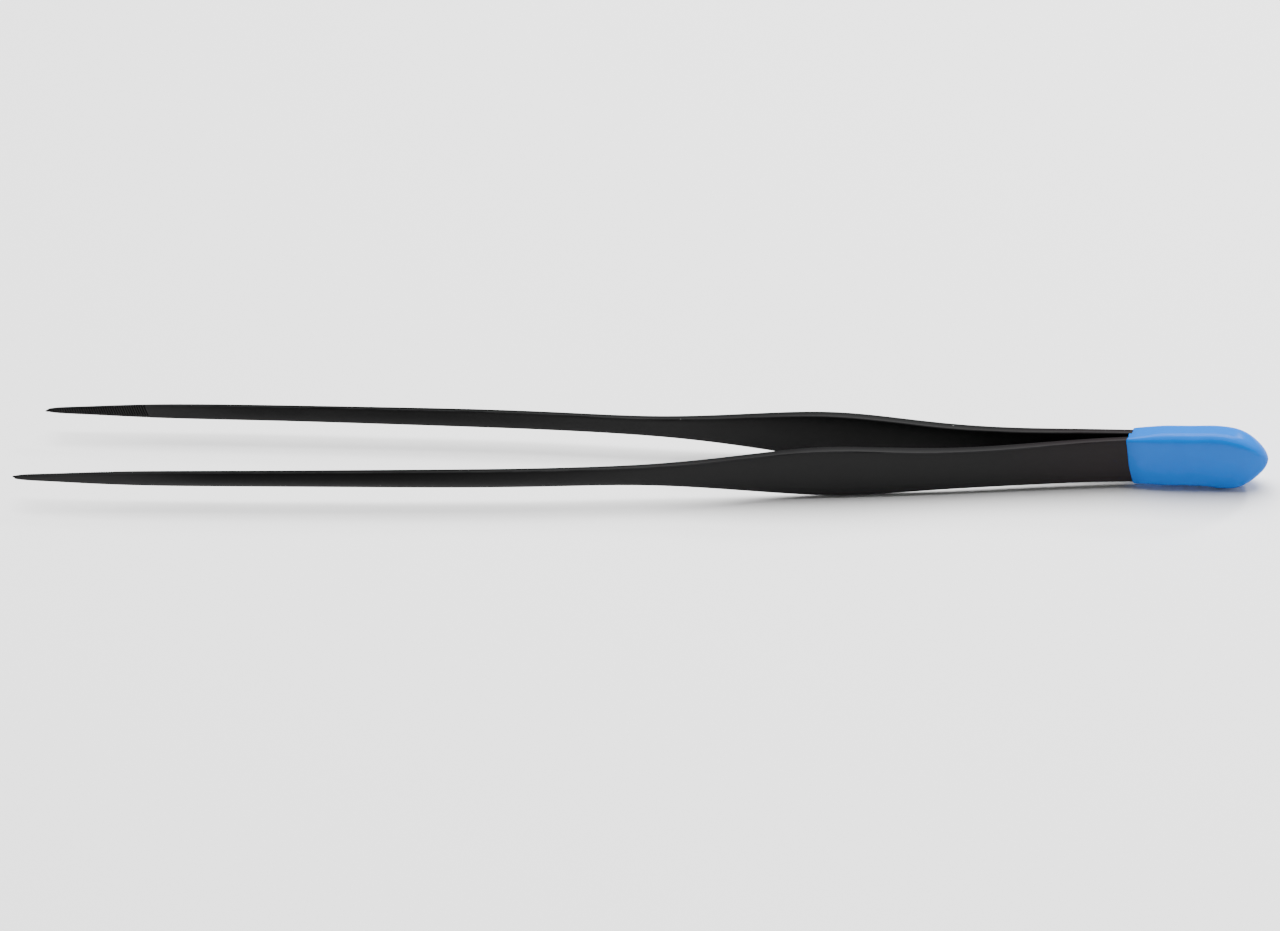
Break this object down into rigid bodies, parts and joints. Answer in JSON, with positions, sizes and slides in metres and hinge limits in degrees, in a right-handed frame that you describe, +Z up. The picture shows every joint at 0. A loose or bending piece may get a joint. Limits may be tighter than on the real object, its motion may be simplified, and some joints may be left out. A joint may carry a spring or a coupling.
{
  "type": "long straight tweezers",
  "caption": "Long slim straight tweezers: two black sprung steel arms with grooved pointed jaws, welded at the tail under a blue dipped vinyl cap.",
  "frame": {"origin": "under the middle of the tweezers, on the plane that the cap rests on", "axes": "+X from the points towards the capped tail, +Y from the left arm to the right arm, +Z up the width of the strip, with the tweezers lying on their narrow edge"},
  "size_m": [0.27, 0.0214, 0.014],
  "materials": {
    "black_steel": "matt black coating on spring steel",
    "weld_metal": "bare weld",
    "blue_vinyl": "smooth glossy dipped vinyl"
  },
  "bodies": {
    "handle": {"left_tail": "black_steel", "right_tail": "black_steel", "weld_nuggets": "weld_metal", "dipped_cap": "blue_vinyl"},
    "left": {"left_arm": "black_steel"},
    "right": {"right_arm": "black_steel"}
  },
  "joints": [
    {"name": "left_flex", "type": "hinge", "parent": "handle", "child": "left", "pos_m": [0.087, -0.00155, 0.007], "axis": [0, 0, -1], "range_deg": [0, 2.54], "stiffness_Nm_per_rad": 6},
    {"name": "right_flex", "type": "hinge", "parent": "handle", "child": "right", "pos_m": [0.087, 0.00155, 0.007], "axis": [0, 0, 1], "range_deg": [0, 2.54], "stiffness_Nm_per_rad": 6}
  ]
}
